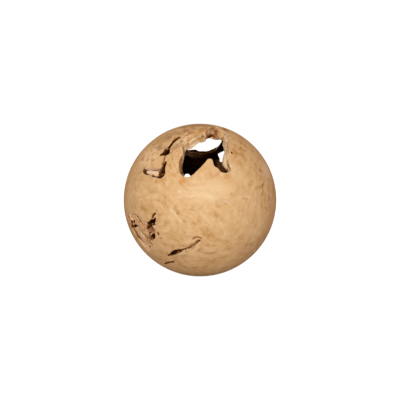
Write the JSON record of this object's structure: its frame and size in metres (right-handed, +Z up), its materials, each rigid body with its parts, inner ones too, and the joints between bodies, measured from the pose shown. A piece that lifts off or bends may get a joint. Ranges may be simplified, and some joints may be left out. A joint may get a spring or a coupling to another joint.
{
  "type": "hollow root wood ball",
  "caption": "Hollow ball turned from a tree root in one piece, with natural mouths, clefts and rotten pockets breaking through its smooth round surface.",
  "frame": {"origin": "the middle of the ball", "axes": "+Z up, away from the thicker base; -Y towards the front, where the large mouth is"},
  "size_m": [0.2, 0.2, 0.2],
  "materials": {
    "root_wood": "satin"
  },
  "bodies": {
    "root": {"root_ball": "root_wood"}
  },
  "joints": []
}
